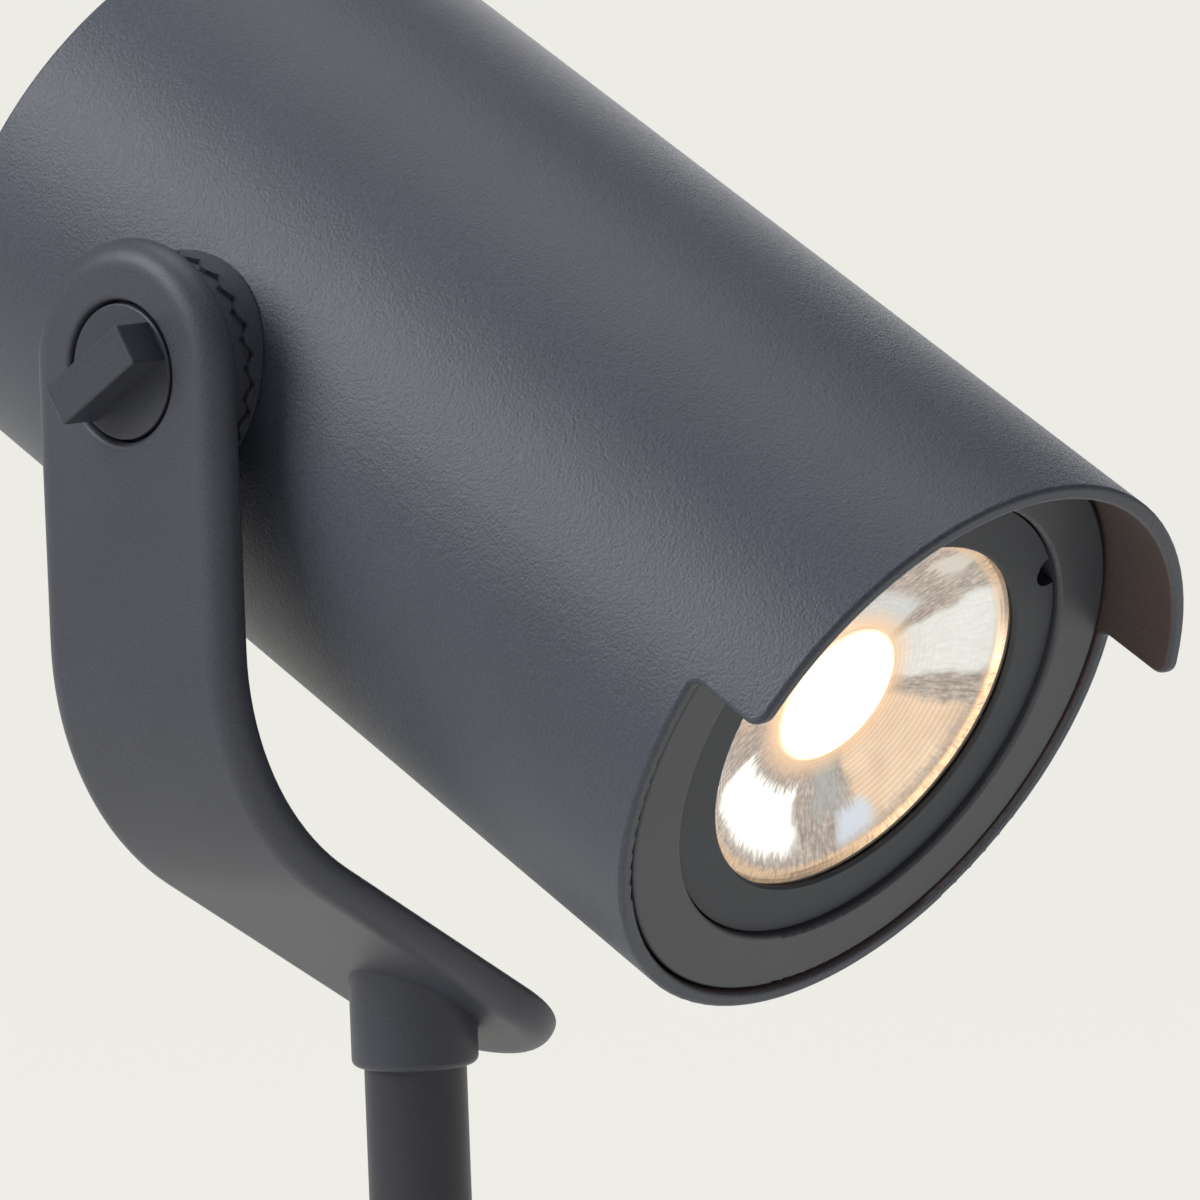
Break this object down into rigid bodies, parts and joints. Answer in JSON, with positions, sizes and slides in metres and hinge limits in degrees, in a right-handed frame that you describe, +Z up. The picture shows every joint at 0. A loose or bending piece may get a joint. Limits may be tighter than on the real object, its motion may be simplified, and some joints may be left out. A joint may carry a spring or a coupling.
{
  "type": "garden spike spotlight",
  "caption": "Round garden spotlight head with a visor on a cast side arm with a clamp knob, on a thin stem in a ground spike.",
  "frame": {"origin": "on the stem's axis at ground level, under the spike's collar", "axes": "+Z up, lamp's front towards -Y, side arm on the -X side"},
  "size_m": [0.1066, 0.179, 0.5206],
  "materials": {
    "coat_coarse": "fine textured anthracite powder coat",
    "coat_fine": "satin anthracite powder coat",
    "coat_stem": "satin dark powder coat",
    "ring_dark": "matt dark anodised",
    "black_plastic": "matt black plastic",
    "steel": "stainless steel",
    "brass": "bright brass",
    "bare_aluminium": "bare cast aluminium",
    "driver_case": "potted plastic case",
    "seal_rubber": "black silicone rubber",
    "pad_grey": "grey heat pad",
    "clear_glass": "clear flat glass",
    "clear_lens": "clear moulded plastic",
    "holder_white": "white plastic",
    "board_white": "white coated metal board",
    "emitter_yellow": "yellow phosphor",
    "lead_red": "insulated leads"
  },
  "bodies": {
    "stem": {"ground_spike": "black_plastic", "stem_tube": "coat_stem", "spike_grub_screw": "steel", "stem_plug": "steel", "pan_bolt": "steel"},
    "arm": {"arm": "coat_fine", "pan_bush": "black_plastic", "pan_washer": "black_plastic"},
    "knob": {"clamp_knob": "coat_fine", "clamp_bolt": "steel", "knob_washer": "black_plastic"},
    "head": {"head_shell": "coat_coarse", "tilt_hub": "coat_fine", "threaded_insert": "brass", "hub_gasket": "seal_rubber", "hub_washer": "bare_aluminium", "hub_nut": "steel", "front_bezel": "coat_fine", "bezel_oring": "seal_rubber", "bezel_screws": "steel", "lens_ring": "ring_dark", "front_glass": "clear_glass", "glass_gasket": "seal_rubber", "lens_optic": "clear_lens", "optic_holder": "holder_white", "holder_screws": "steel", "cob_board": "board_white", "cob_emitter": "emitter_yellow", "thermal_pad": "pad_grey", "heat_sink": "bare_aluminium", "driver_bracket": "steel", "driver_screws": "steel", "driver": "driver_case", "led_leads": "lead_red", "terminal_block": "black_plastic", "rear_cap": "coat_coarse", "rear_gasket": "seal_rubber", "rear_cap_screws": "steel", "gland_body": "black_plastic", "gland_seal": "seal_rubber", "gland_nut": "black_plastic", "gland_locknut": "black_plastic"}
  },
  "joints": [
    {"name": "pan", "type": "hinge", "parent": "stem", "child": "arm", "pos_m": [0, 0, 0.18], "axis": [0, 0, 1], "range_deg": [-175, 175]},
    {"name": "head_tilt", "type": "hinge", "parent": "arm", "child": "head", "pos_m": [0, 0, 0.28], "axis": [-1, 0, 0], "range_deg": [-15, 120]},
    {"name": "knob_turn", "type": "hinge", "parent": "arm", "child": "knob", "pos_m": [0, 0, 0.28], "axis": [-1, 0, 0], "range_deg": [0, 360]}
  ]
}
